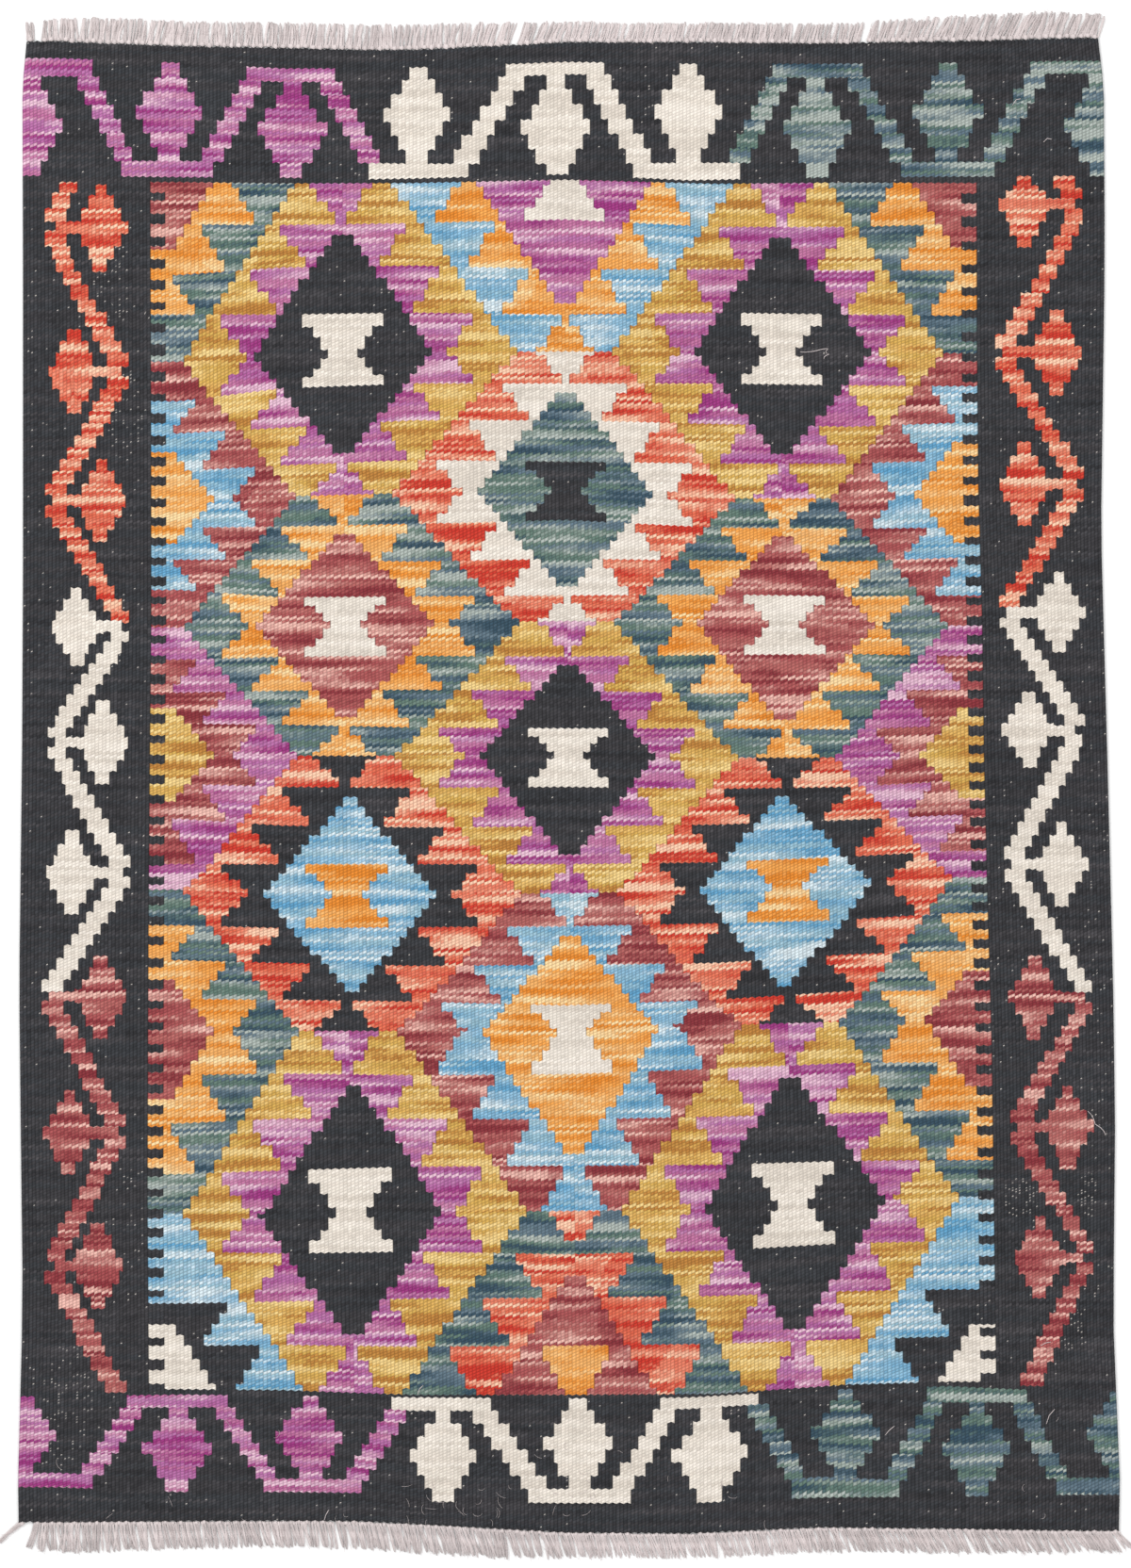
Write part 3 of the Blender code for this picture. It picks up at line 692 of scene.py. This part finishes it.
def weave_cloth(settings, dyes):
    """The cloth: a grid with a column for each warp, its rows drawn together wherever the yarn stays the same."""
    chart = Chart()
    chart.weave()
    columns, steps = WARP_COUNT, len(chart.rows)
    x, y = place(np.broadcast_to(chart.warps, chart.warp.shape).ravel(), np.repeat(chart.rows, columns))
    worn = np.where(chart.yarn.ravel() == CHARCOAL, patches(WORN, x, y), patches(FADED, x, y))
    worn = worn.reshape(chart.yarn.shape)
    # Where the yarn changes from one warp to the next a slit opens; shade is painted along it.
    change = chart.yarn[:, 1:] != chart.yarn[:, :-1]
    slit_left, slit_right = np.zeros(chart.yarn.shape), np.zeros(chart.yarn.shape)
    slit_left[:, 1:] = change
    slit_right[:, :-1] = change
    keys = np.stack([chart.yarn, chart.block, slit_left, slit_right, worn * 100], axis=2)
    same = (keys[1:] == keys[:-1]).all(axis=2)
    same[[0, -1]] = False
    same[settings.cut_rows - 1::settings.cut_rows] = False

    bm = bmesh.new()
    bmesh.ops.create_grid(bm, x_segments=columns, y_segments=steps, size=1.0)
    # Grid lines count from the lower left, the chart's rows from the top.
    drawn_together = []
    for edge in bm.edges:
        a, b = edge.verts[0].co, edge.verts[1].co
        if abs(a.y - b.y) < 1e-6:
            line = steps - round((a.y + 1) * steps / 2)
            column = int(((a.x + b.x) / 2 + 1) * columns / 2)
            if 0 < line < steps and same[line - 1, column]:
                drawn_together.append(edge)
    bmesh.ops.dissolve_edges(bm, edges=drawn_together, use_verts=True)

    under = bmesh.ops.extrude_face_region(bm, geom=bm.faces[:])
    for vert in [v for v in under["geom"] if isinstance(v, bmesh.types.BMVert)]:
        vert.co.z = -1.0
    bmesh.ops.recalc_face_normals(bm, faces=bm.faces)

    piece = new_piece("kilim_cloth", bm, [woven(yarn, getattr(dyes, yarn.key)) for yarn in YARNS])
    mesh = piece.data
    grid = get(mesh.vertices, "co", 3).reshape(-1, 3).astype(float)
    column = np.round((grid[:, 0] + 1) * columns / 2)
    line = steps - np.round((grid[:, 1] + 1) * steps / 2)
    warp, row = FIRST_WARP + column, FIRST_ROW + line / STEPS_A_ROW
    x, y = place(warp, row)
    # The weft of a colour passes over one warp and under the next, so a level change of colour is scalloped.
    y = y + SCALLOP * np.where(column % 2 == 0, 1, -1)
    at_edge = (column == 0) | (column == columns) | (line == 0) | (line == steps)
    thick, edge_thick = settings.thickness / 2, settings.thickness * EDGE_THICK
    z = thick + np.where(grid[:, 2] > -0.5, 1, -1) * np.where(at_edge, edge_thick, thick)
    mx, my = to_metres(x, y)
    put(mesh.vertices, "co", np.stack([mx, my, z], axis=1))

    # Each face takes its yarn, block, the slits beside it that get painted shade, and its wear from the chart; those of
    # the rim from the nearest warp.
    counts = get(mesh.polygons, "loop_total", kind=np.int32)
    corners = get(mesh.loops, "vertex_index", kind=np.int32)
    owner = np.repeat(np.arange(len(counts)), counts)
    low = np.full((len(counts), 2), 1e9)
    high = np.full((len(counts), 2), -1e9)
    at = np.stack([column, line], axis=1)[corners]
    np.minimum.at(low, owner, at)
    np.maximum.at(high, owner, at)
    middle = (low + high) / 2
    i = np.clip(np.floor(middle[:, 0]), 0, columns - 1).astype(int)
    j = np.clip(np.floor(middle[:, 1]), 0, steps - 1).astype(int)
    mesh.polygons.foreach_set("material_index", chart.yarn[j, i].astype(np.int32))
    block = mesh.attributes.new("block", "FLOAT", "FACE")
    put(block.data, "value", chart.block[j, i] * BLOCK_SPREAD % BLOCK_WRAP)
    marks = mesh.attributes.new("marks", "FLOAT_VECTOR", "FACE")
    put(marks.data, "vector", np.stack([slit_left[j, i], slit_right[j, i], worn[j, i]], axis=1))

    # Warps across and picks up the cloth. Where rows lie closer, so do the picks.
    mean_y = row_y(np.linspace(100, 1100, 30)).mean(axis=1)
    picks = (np.interp(row, ROWS, mean_y) + y - place(warp, row)[1]) * COUNT / settings.pick
    weave = mesh.uv_layers.new(name="weave")
    put(weave.data, "uv", np.stack([column, -picks], axis=1)[corners])
    bake = mesh.uv_layers.new(name="OFBake")
    flat = np.stack([(mx - mx.min()) / (mx.max() - mx.min()), (my - my.min()) / (my.max() - my.min())], axis=1)
    put(bake.data, "uv", (0.002 + 0.996 * flat)[corners])  # a narrow margin all round
    mesh.polygons.foreach_set("use_smooth", np.ones(len(counts), bool))
    mesh.update()
    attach(piece, "root")
    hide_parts("cloth")
    return piece


RINGS, SIDES = 7, 6  # rings along a cut yarn end, and points around each
STRAND_FLAT = 0.5  # height of a strand as it lies, as a share of its width
ABOVE_FLOOR = 5e-5  # metres left under a strand
# What differs from knot to knot and from strand to strand, each from and to: shares, and metres and radians.
KNOT_ASIDE, KNOT_OUT = (-5e-4, 5e-4), (1.2e-3, 2.4e-3)
KNOT_WIDE, KNOT_LONG, KNOT_SHADE = (0.85, 1.15), (0.85, 1.2), (0.55, 1.0)
KNOT_RISE, KNOT_FLAT = 0.40, 0.7  # how high its middle lies and how flat it is, as shares of its width
KNOT_REACH, KNOT_LEAVE = 1.2e-3, 1.6e-3  # how far inside the knot strands begin, and how high
FALL = 2.2  # a strand has come down to the floor after 1 / FALL of its way
TUFT, TUFT_KNOTS = (-0.03, 0.03), 5  # how far tufts lean, and the knots in each
STRANDS, THIN, PALER = (4, 4, 5), 0.85, 0.35  # strands to a knot; how thin and how much paler those of pale places are
STRAND_WIDE, STRAND_LIFT, STRAND_SHADE = (0.7, 1.05), (0, 1e-3), (0.25, 1.05)
STRAND_LEAN, STRAND_CURL, STRAND_REACH = (-0.16, 0.16), (-0.4, 0.4), (0.92, 1.02)
HAIR_LEAN, HAIR_CURL, HAIR_REACH, HAIR_SHADE = (-0.3, 0.3), (-1.0, 1.0), (0.75, 1.08), 0.9


def yarn_template():
    """One cut yarn end: a ring of six sides drawn out six times, and closed at both ends."""
    bm = bmesh.new()
    bmesh.ops.create_circle(bm, cap_ends=True, segments=SIDES, radius=1.0)
    bm.faces.ensure_lookup_table()
    face = bm.faces[0]
    for _ in range(RINGS - 1):
        made = bmesh.ops.extrude_face_region(bm, geom=[face])
        face = [f for f in made["geom"] if isinstance(f, bmesh.types.BMFace)][0]
        bmesh.ops.translate(bm, verts=face.verts, vec=(0, 0, 1))
    bmesh.ops.recalc_face_normals(bm, faces=bm.faces)
    return bm


def knot_template():
    bm = bmesh.new()
    bmesh.ops.create_icosphere(bm, subdivisions=1, radius=1.0)
    return bm


def as_arrays(bm):
    """Points, faces and a map for the plies of a template."""
    bm.verts.ensure_lookup_table()
    points = np.array([v.co[:] for v in bm.verts])
    mesh = bpy.data.meshes.new("template")
    uv = bm.loops.layers.uv.new("weave")
    for face in bm.faces:
        for loop in face.loops:
            around = (math.atan2(loop.vert.co.y, loop.vert.co.x) / (2 * math.pi)) % 1.0
            loop[uv].uv = (around, loop.vert.co.z * 4.0)
        turns = [loop[uv].uv.x for loop in face.loops]
        if max(turns) - min(turns) > 0.5:
            for loop in face.loops:
                if loop[uv].uv.x < 0.5:
                    loop[uv].uv.x += 1.0
    bm.to_mesh(mesh)
    bm.free()
    return mesh, points


class Bundle:
    """Many copies of the templates joined in one mesh, each with its own shade."""

    def __init__(self):
        self.bm = bmesh.new()
        self.places, self.shades = [], []
        self.yarn, self.yarn_points = as_arrays(yarn_template())
        self.knot, self.knot_points = as_arrays(knot_template())

    def add(self, template, places, shade):
        self.bm.from_mesh(template)
        self.places.append(places)
        self.shades.append(np.full(len(template.polygons), shade))

    def lay(self, path, radius, ends, shade, flat=1.0):
        """Adds a yarn along a path of RINGS points. Flat is the share of its width that it is high."""
        tangent = np.gradient(path, axis=0)
        tangent /= np.linalg.norm(tangent, axis=1)[:, None]
        side = np.cross(tangent, (0, 0, 1.0))
        side /= np.linalg.norm(side, axis=1)[:, None]
        rise = np.cross(side, tangent)
        points = self.yarn_points
        ring = np.round(points[:, 2]).astype(int)
        thick = radius * np.interp(ring, (0, RINGS - 2, RINGS - 1), (ends[0], 1.0, ends[1]))
        wide, high = points[:, :1] * thick[:, None], points[:, 1:2] * thick[:, None] * flat
        self.add(self.yarn, path[ring] + side[ring] * wide + rise[ring] * high, shade)

    def finish(self, name):
        piece = new_piece(name, self.bm, [bpy.data.materials[WARP_YARN]])
        mesh = piece.data
        put(mesh.vertices, "co", np.concatenate(self.places))
        put(mesh.attributes.new("shade", "FLOAT", "FACE").data, "value", np.concatenate(self.shades))
        mesh.polygons.foreach_set("use_smooth", np.ones(len(mesh.polygons), bool))
        mesh.update()
        for template in (self.yarn, self.knot):
            bpy.data.meshes.remove(template)
        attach(piece, "root")
        return piece


def strand(start, turn, curl, far, up, heights):
    """Points of a strand that leaves its knot at an angle and bends evenly on its way."""
    t = np.linspace(0, 1, RINGS)
    angle = turn + curl * (t - 0.4)
    middle = (angle[1:] + angle[:-1]) / 2
    dx = np.append(0, np.cumsum(np.sin(middle))) / (RINGS - 1) * far
    dy = np.append(0, np.cumsum(np.cos(middle))) / (RINGS - 1) * far
    return np.stack([start[0] + dx, start[1] + up * dy, heights], axis=1)


def knot_fringe(name, node, table, missing, pale, end_row, up, knot_scale, seed, settings):
    """Warp ends in pairs: a knot at the cloth's edge, four or five strands that lie on the floor, and stray hairs."""
    chance = random.Random(seed)
    bundle = Bundle()
    pairs = WARP_COUNT // 2
    warps = FIRST_WARP + 1 + 2 * np.arange(pairs)
    x, y = place(warps.astype(float), np.full(pairs, end_row))
    mx, my = to_metres(x, y)
    pitch = (mx[-1] - mx[0]) / (pairs - 1)
    share = np.linspace(0, 1, pairs)
    reach = along(table, share) / 1000
    lean = np.radians(np.interp(share, [r[0] for r in table], [r[2] for r in table]))
    # Some knots in a row lean together, so that the strands close up in tufts.
    tufts = [chance.uniform(*TUFT) for _ in range(pairs // TUFT_KNOTS + 2)]
    lean = lean + np.interp(np.arange(pairs) / TUFT_KNOTS, range(len(tufts)), tufts)
    t = np.linspace(0, 1, RINGS)
    lost = {int(np.abs(x - at).argmin()) for at in missing}
    knot = settings.knot * knot_scale
    for k in range(pairs):
        if k in lost:
            continue
        knot_at = np.array([mx[k] + chance.uniform(*KNOT_ASIDE), my[k] + up * chance.uniform(*KNOT_OUT),
                            knot * KNOT_RISE])
        size = np.array([chance.uniform(*KNOT_WIDE), chance.uniform(*KNOT_LONG), KNOT_FLAT]) * knot / 2
        bundle.add(bundle.knot, bundle.knot_points * size + knot_at, chance.uniform(*KNOT_SHADE))
        thin = pale[0] < x[k] < pale[1]
        strands = chance.choice(STRANDS)
        for n in range(strands):
            radius = settings.yarn / 2 * chance.uniform(*STRAND_WIDE) * (THIN if thin else 1.0)
            low = radius * STRAND_FLAT + ABOVE_FLOOR
            start = knot_at[:2] + (((n + 0.5) / strands - 0.5) * pitch, -up * KNOT_REACH)
            heights = low + np.clip(1 - t * FALL, 0, 1) * (KNOT_LEAVE - low) + chance.uniform(*STRAND_LIFT) * t
            path = strand(start, lean[k] + chance.uniform(*STRAND_LEAN), chance.uniform(*STRAND_CURL),
                          reach[k] * chance.uniform(*STRAND_REACH), up, heights)
            bundle.lay(path, radius, (0.75, 0.55), chance.uniform(*STRAND_SHADE) + PALER * thin, STRAND_FLAT)
        for _ in range(2):
            path = strand(knot_at[:2], lean[k] + chance.uniform(*HAIR_LEAN), chance.uniform(*HAIR_CURL),
                          reach[k] * chance.uniform(*HAIR_REACH), up, 0.0006 + 0.0016 * np.sin(math.pi * t))
            bundle.lay(path, settings.hair / 2, (1.0, 0.5), HAIR_SHADE)
    piece = bundle.finish(name)
    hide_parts(node)
    return piece


THREAD_RADIUS, THREAD_SHADE, SHED_SHADE = 3.5e-4, 0.9, 0.5
SHED_TURN, SHED_LONG = (-2.4, 2.4), (6, 16)  # radians that a shed hair turns through, and its length in counts
CUT = (0.6, 0.5)  # shares of a loose thread's width at its two ends


def arched(x, y, thickness, lift, arch):
    """The points of a thread in counts, lifted off the face and arched, both in metres."""
    mx, my = to_metres(x, y)
    return np.stack([mx, my, thickness + lift + arch * np.sin(math.pi * np.linspace(0, 1, RINGS))], axis=1)


def loose_threads(thickness, settings):
    """Short ends of yarn left on the face of the cloth, and fine hairs that the wool sheds."""
    bundle = Bundle()
    t = np.linspace(0, 1, RINGS)
    for points in LOOSE:
        at = np.linspace(0, 1, len(points))
        x, y = (np.interp(t, at, [p[k] for p in points]) for k in (0, 1))
        path = arched(x, y, thickness, 3e-4, 3e-4)
        bundle.lay(path, THREAD_RADIUS, CUT, THREAD_SHADE)
    chance = random.Random(5)
    for n in range(HAIRS):
        left, right, top, bottom = HAIRY[n % 2]
        angle = chance.uniform(0, math.pi) + chance.uniform(*SHED_TURN) * t
        step = chance.uniform(*SHED_LONG) / RINGS
        x = chance.uniform(left, right) + np.cumsum(np.cos(angle)) * step
        y = chance.uniform(top, bottom) + np.cumsum(np.sin(angle)) * step
        path = arched(x, y, thickness, 2e-4, 4e-4)
        bundle.lay(path, settings.hair / 2, CUT, SHED_SHADE)
    piece = bundle.finish("loose_threads")
    return piece


# ---- Settings, operators and panel ----
def colour_property(name, description, colour):
    """A colour that a user may change, given as sRGB hex."""
    return bpy.props.FloatVectorProperty(name=name, description=description, subtype="COLOR", size=4, min=0.0,
                                         max=1.0, default=linear(colour))


def length_property(name, description, default, precision=5):
    return bpy.props.FloatProperty(name=name, description=description, default=default, unit="LENGTH",
                                   subtype="DISTANCE", precision=precision)


def dye_property(yarn):
    return colour_property(yarn.key.capitalize(),
                           f"Usual colour of the {yarn.key} weft; its streaks keep their ratio to it", yarn.plain)


class KilimDyeSettings(bpy.types.PropertyGroup):
    """One colour for each yarn, under its key."""
    __annotations__ = {yarn.key: dye_property(yarn) for yarn in YARNS}


class KilimClothSettings(bpy.types.PropertyGroup):
    thickness: length_property("Thickness", "Thickness of the cloth", CLOTH_BOX[1].z - CLOTH_BOX[0].z, 4)
    pick: length_property("Pick", "Height of one pick. Real ones are about 1 mm; they are drawn at 1.34 mm, the finest "
                          "that the picture shows", 0.00134)
    cut_rows: bpy.props.IntProperty(name="Cut every", description="Quarter rows after which a column is cut, so that "
                                    "it follows the waves of the cloth", default=24)


class KilimFringeSettings(bpy.types.PropertyGroup):
    yarn: length_property("Yarn", "Width of a strand as it lies", 0.0027)
    knot: length_property("Knot", "Width of a knot", 0.0050)
    hair: length_property("Hair", "Thickness of a stray hair, drawn coarse enough to show", 0.00032)
    colour: colour_property("Colour", "Colour of the undyed warp yarn", "#D2C7C6")


class KilimStageSettings(bpy.types.PropertyGroup):
    floor: length_property("Floor", "Side of the floor", 14.0, 2)
    camera_height: length_property("Camera height", "Height of the camera over the floor", 12.0, 2)
    colour: colour_property("Colour", "Colour of the floor", "#FBFBFB")


class KILIM_OT_cloth(bpy.types.Operator):
    """Weaves the cloth from the chart in nine dyed yarns"""
    bl_idname = "kilim.cloth"
    bl_label = "Weave the cloth"

    def execute(self, context):
        weave_cloth(context.scene.kilim_cloth, context.scene.kilim_dyes)
        return {"FINISHED"}


class KILIM_OT_fringes(bpy.types.Operator):
    """Knots the warp ends at both ends of the cloth"""
    bl_idname = "kilim.fringes"
    bl_label = "Knot the fringes"

    def execute(self, context):
        settings = context.scene.kilim_fringe
        warp_yarn(settings.colour)
        for fringe in FRINGES:
            knot_fringe(*fringe, settings)
        return {"FINISHED"}


class KILIM_OT_threads(bpy.types.Operator):
    """Leaves loose threads and shed hairs on the cloth, once the cloth, fringes and floor are made"""
    bl_idname = "kilim.threads"
    bl_label = "Scatter loose threads"

    def execute(self, context):
        names = ("kilim_cloth", "fringe_upper", "fringe_lower", "kilim_floor")
        missing = [name for name in names if name not in bpy.data.objects]
        if missing:
            raise RuntimeError("make these first: " + ", ".join(missing))
        threads = loose_threads(context.scene.kilim_cloth.thickness, context.scene.kilim_fringe)
        return {"FINISHED"}


SENSOR = 24.0  # height of the camera's sensor in mm
WORLD_LIGHT = 0.82
# A wide soft light over the upper left, and a weaker one to the right: watts, side and place in metres.
LIGHTS = (("soft_light_left", 95, 3.0, (-2.4, 2.2, 3.2)), ("soft_light_right", 30, 3.0, (2.6, -1.2, 3.4)))


class KILIM_OT_stage(bpy.types.Operator):
    """Lays a pale floor, hangs soft lights and sets the camera straight above"""
    bl_idname = "kilim.stage"
    bl_label = "Set the stage"

    def execute(self, context):
        settings = context.scene.kilim_stage
        scene = context.scene
        bm = bmesh.new()
        bmesh.ops.create_grid(bm, x_segments=1, y_segments=1, size=settings.floor / 2)
        # Painted board: flat, matt and nearly white, so that only the rug has colour.
        material, _, shader = new_material("pale_matt_floor", 0.9, 0.0)
        shader.inputs["Base Color"].default_value = settings.colour
        floor = new_piece("kilim_floor", bm, [material])

        world = scene.world or bpy.data.worlds.new("kilim_world")
        scene.world = world
        world.use_nodes = True
        background = world.node_tree.nodes["Background"]
        background.inputs[0].default_value = linear("#FFFFFF")
        background.inputs[1].default_value = WORLD_LIGHT
        scene.view_settings.view_transform = "Standard"
        for name, energy, size, at in LIGHTS:
            data = bpy.data.lights.new(name, "AREA")
            data.energy, data.size = energy, size
            light = bpy.data.objects.new(name, data)
            light.location = at
            light.rotation_euler = (-Vector(at)).to_track_quat("-Z", "Y").to_euler()
            scene.collection.objects.link(light)

        lens = bpy.data.cameras.new("kilim_camera")
        lens.type = "PERSP"
        lens.sensor_fit = "VERTICAL"
        lens.sensor_height = SENSOR
        lens.lens = SENSOR * settings.camera_height / (VIEW_HIGH * COUNT)
        lens.clip_end = 100.0
        camera = bpy.data.objects.new("kilim_camera", lens)
        x, y = to_metres(*VIEW_MIDDLE)
        camera.location = (float(x), float(y), settings.camera_height)
        scene.collection.objects.link(camera)
        scene.camera = camera
        return {"FINISHED"}


class KILIM_PT_panel(bpy.types.Panel):
    """The kilim's settings and operators"""
    bl_label = "Kilim rug"
    bl_idname = "KILIM_PT_panel"
    bl_space_type = "VIEW_3D"
    bl_region_type = "UI"
    bl_category = "Kilim"

    def draw(self, context):
        scene = context.scene
        for group in (scene.kilim_stage, scene.kilim_cloth, scene.kilim_dyes, scene.kilim_fringe):
            for name in group.__annotations__:
                self.layout.prop(group, name)
        for operator in OPERATORS:
            self.layout.operator(operator.bl_idname)


GROUPS = {"kilim_stage": KilimStageSettings, "kilim_cloth": KilimClothSettings, "kilim_dyes": KilimDyeSettings,
          "kilim_fringe": KilimFringeSettings}
OPERATORS = (KILIM_OT_stage, KILIM_OT_cloth, KILIM_OT_fringes, KILIM_OT_threads)
CLASSES = (*GROUPS.values(), *OPERATORS, KILIM_PT_panel)


def register():
    for cls in CLASSES:
        bpy.utils.register_class(cls)
    for name, group in GROUPS.items():
        setattr(bpy.types.Scene, name, bpy.props.PointerProperty(type=group))


def unregister():
    for name in GROUPS:
        delattr(bpy.types.Scene, name)
    for cls in reversed(CLASSES):
        bpy.utils.unregister_class(cls)


def main():
    register()
    bpy.ops.kilim.stage()
    bpy.ops.kilim.cloth()
    bpy.ops.kilim.fringes()
    bpy.ops.kilim.threads()
    bpy.context.view_layer.update()


if __name__ == "__main__":
    main()
